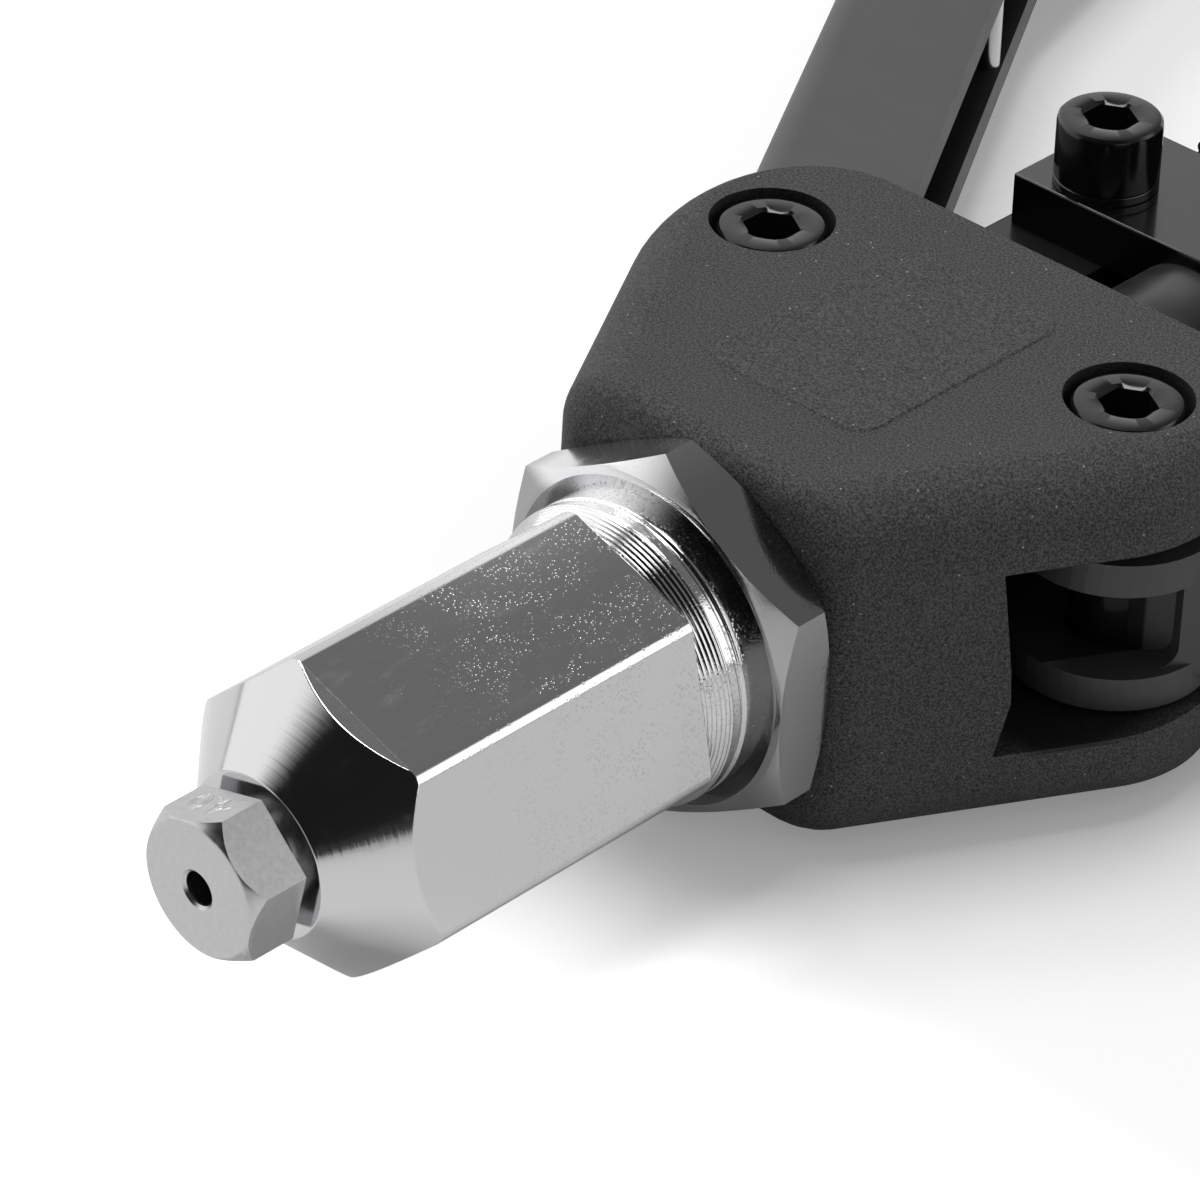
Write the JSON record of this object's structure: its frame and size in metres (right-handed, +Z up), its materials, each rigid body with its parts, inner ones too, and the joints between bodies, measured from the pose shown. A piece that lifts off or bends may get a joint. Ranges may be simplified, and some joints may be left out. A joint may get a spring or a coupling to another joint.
{
  "type": "lever hand riveter",
  "caption": "Two-arm lever hand riveter: chromed nose, cast body with arm pivots, cam-driven crosshead and pull tube, gripping jaws and a collector for spent mandrels.",
  "frame": {"origin": "centre of the nosepiece's front face, on the tool axis", "axes": "+Y rearwards along the tool axis, +Z up when the tool lies flat, +X to the right arm seen from above with the nose towards the viewer; the arms turn about Z"},
  "size_m": [0.3244, 0.4123, 0.0478],
  "materials": {
    "casting_black": "textured matt",
    "arm_black": "satin",
    "chrome_plate": "bright, pitted in places",
    "nosepiece_steel": "satin plated",
    "black_screw": "gloss black oxide",
    "black_plate": "satin black oxide",
    "bright_steel": "ground",
    "spring_steel": "drawn",
    "grip_rubber": "matt",
    "collector_plastic": "matt"
  },
  "bodies": {
    "case": {"body_casting": "casting_black", "nose_housing": "chrome_plate", "lock_nut": "chrome_plate", "nosepiece": "nosepiece_steel", "pivot_screws": "black_screw", "pivot_sleeves": "bright_steel", "pivot_nuts": "black_screw", "spacer_rings": "bright_steel", "thrust_washers": "bright_steel", "return_spring": "spring_steel"},
    "puller": {"pull_tube": "bright_steel", "crosshead_top_plate": "black_plate", "crosshead_bottom_plate": "black_plate", "crosshead_washers": "black_screw", "crosshead_screws": "black_screw", "crosshead_nuts": "black_screw", "follower_bar_left": "black_plate", "follower_bar_right": "black_plate", "jaw_case": "bright_steel", "case_lock_nut": "bright_steel", "jaw_spring": "spring_steel", "collector_cap": "collector_plastic", "collector_bottle": "collector_plastic"},
    "jaw_set": {"jaws": "bright_steel", "jaw_pusher": "bright_steel"},
    "right_arm": {"arm_right": "arm_black", "arm_pin_right": "bright_steel", "grip_right": "grip_rubber"},
    "left_arm": {"arm_left": "arm_black", "arm_pin_left": "bright_steel", "grip_left": "grip_rubber"}
  },
  "joints": [
    {"name": "right_arm_pivot", "type": "hinge", "parent": "case", "child": "right_arm", "pos_m": [0.0269, 0.1147, 0], "axis": [0, 0, 1], "range_deg": [-60, 14.5]},
    {"name": "left_arm_pivot", "type": "hinge", "parent": "case", "child": "left_arm", "pos_m": [-0.0269, 0.1147, 0], "axis": [0, 0, 1], "range_deg": [-14.5, 60]},
    {"name": "puller_slide", "type": "slide", "parent": "case", "child": "puller", "axis": [0, 1, 0], "range_m": [-0.0069, 0.0017], "deforming": ["return_spring"]},
    {"name": "jaw_slide", "type": "slide", "parent": "puller", "child": "jaw_set", "axis": [0, 1, 0], "range_m": [0, 0.0012], "stiffness_N_per_m": 600, "springref_m": -0.003, "deforming": ["jaw_spring"]}
  ],
  "couplings": [
    {"joint": "left_arm_pivot", "follows": "right_arm_pivot", "ratio": -1},
    {"joint": "puller_slide", "follows": "right_arm_pivot", "m_per_rad": 0.0065}
  ]
}
